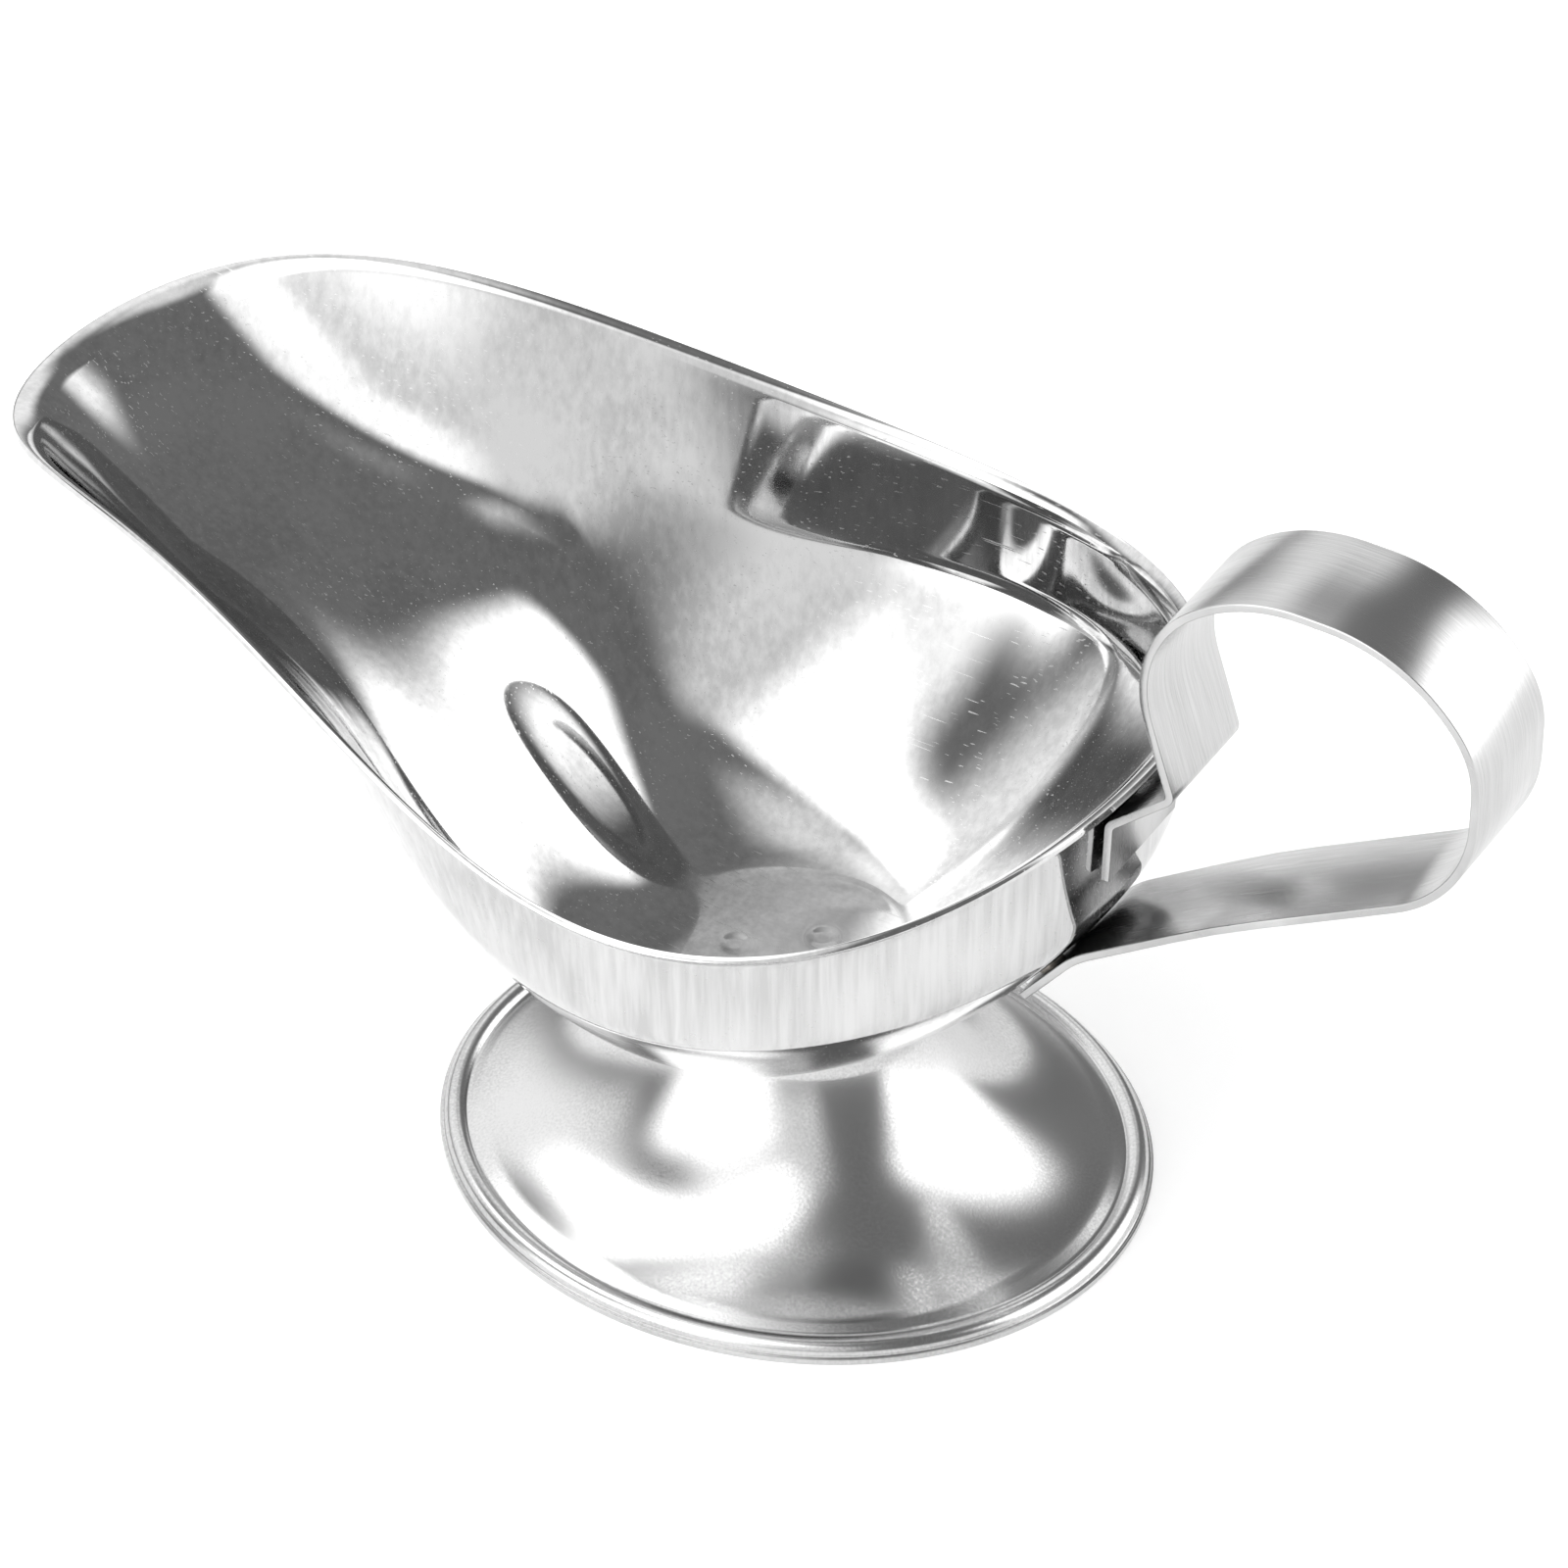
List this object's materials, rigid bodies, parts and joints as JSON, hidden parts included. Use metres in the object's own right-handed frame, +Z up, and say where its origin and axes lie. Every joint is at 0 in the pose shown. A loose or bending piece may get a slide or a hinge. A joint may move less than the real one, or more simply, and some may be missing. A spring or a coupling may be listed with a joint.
{
  "type": "sauce boat",
  "caption": "Open oval sauce boat with a broad pouring spout, a rolled lip, a bent strip handle and a hollow oval pedestal foot.",
  "frame": {"origin": "centre of the oval foot, on the surface that it stands on", "axes": "+X from the bowl towards the handle, so the spout points along -X; +Z up; +Y across, and the boat is the same on both sides of the XZ plane"},
  "size_m": [0.1874, 0.094, 0.1083],
  "materials": {
    "bowl_polished_steel": "polished stainless steel",
    "foot_satin_steel": "fine satin stainless steel",
    "handle_satin_steel": "satin rolled stainless steel strip",
    "weld_steel": "fused steel"
  },
  "bodies": {
    "root": {"bowl": "bowl_polished_steel", "foot": "foot_satin_steel", "handle": "handle_satin_steel", "foot_spot_welds": "weld_steel", "handle_upper_spot_welds": "weld_steel", "handle_lower_spot_welds": "weld_steel"}
  },
  "joints": []
}
